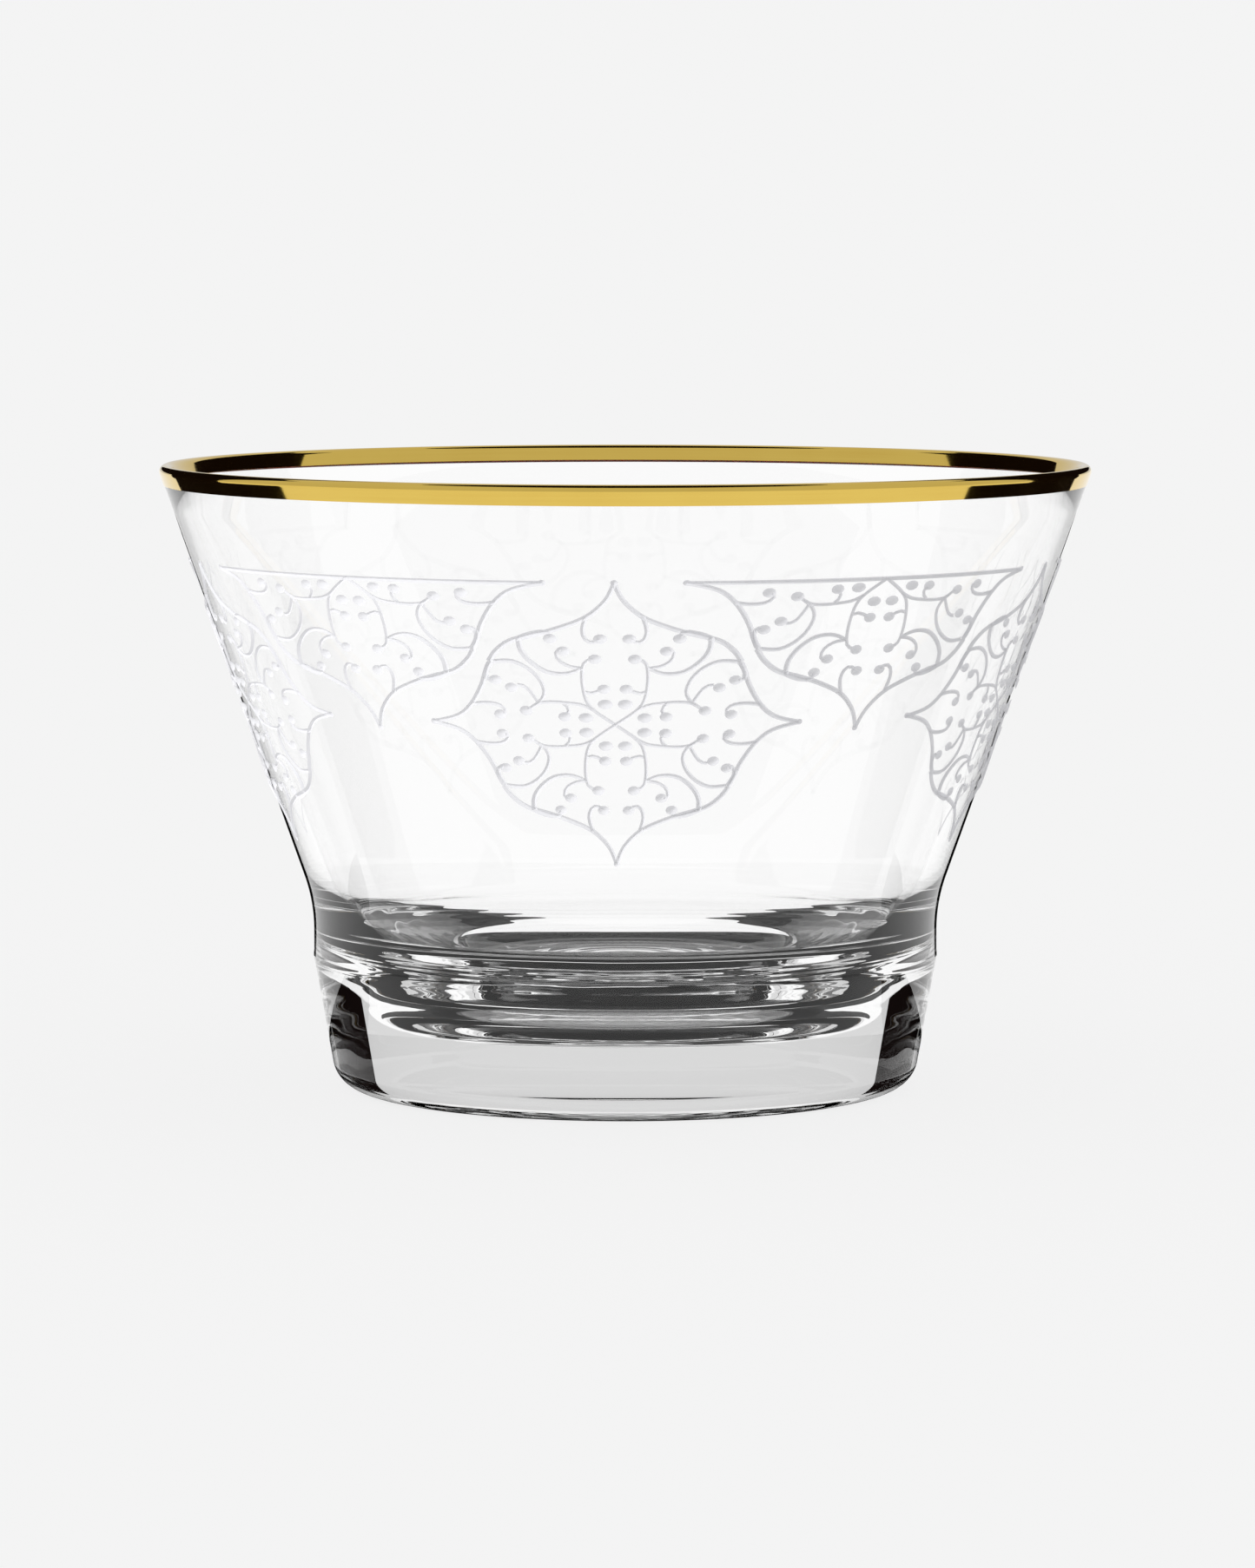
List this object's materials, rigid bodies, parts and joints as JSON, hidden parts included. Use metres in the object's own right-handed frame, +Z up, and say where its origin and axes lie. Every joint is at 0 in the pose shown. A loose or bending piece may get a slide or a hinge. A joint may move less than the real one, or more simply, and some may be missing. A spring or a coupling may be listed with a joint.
{
  "type": "glass bowl",
  "caption": "Conical clear glass dessert bowl on a heavy tapered foot, with a gold band wrapped over its rim and an engraved arabesque ornament.",
  "frame": {"origin": "centre of the resting ring under the foot", "axes": "+Z up along the bowl's axis, out of its mouth; +X and +Y lie in the resting plane"},
  "size_m": [0.11, 0.11, 0.074],
  "materials": {
    "clear_glass": "clear soda-lime glass, fire polished, with a matt engraved ornament on the outer wall",
    "bright_gold": "bright gold film fired on to the glass"
  },
  "bodies": {
    "root": {"glass_bowl": "clear_glass", "gold_rim": "bright_gold"}
  },
  "joints": []
}
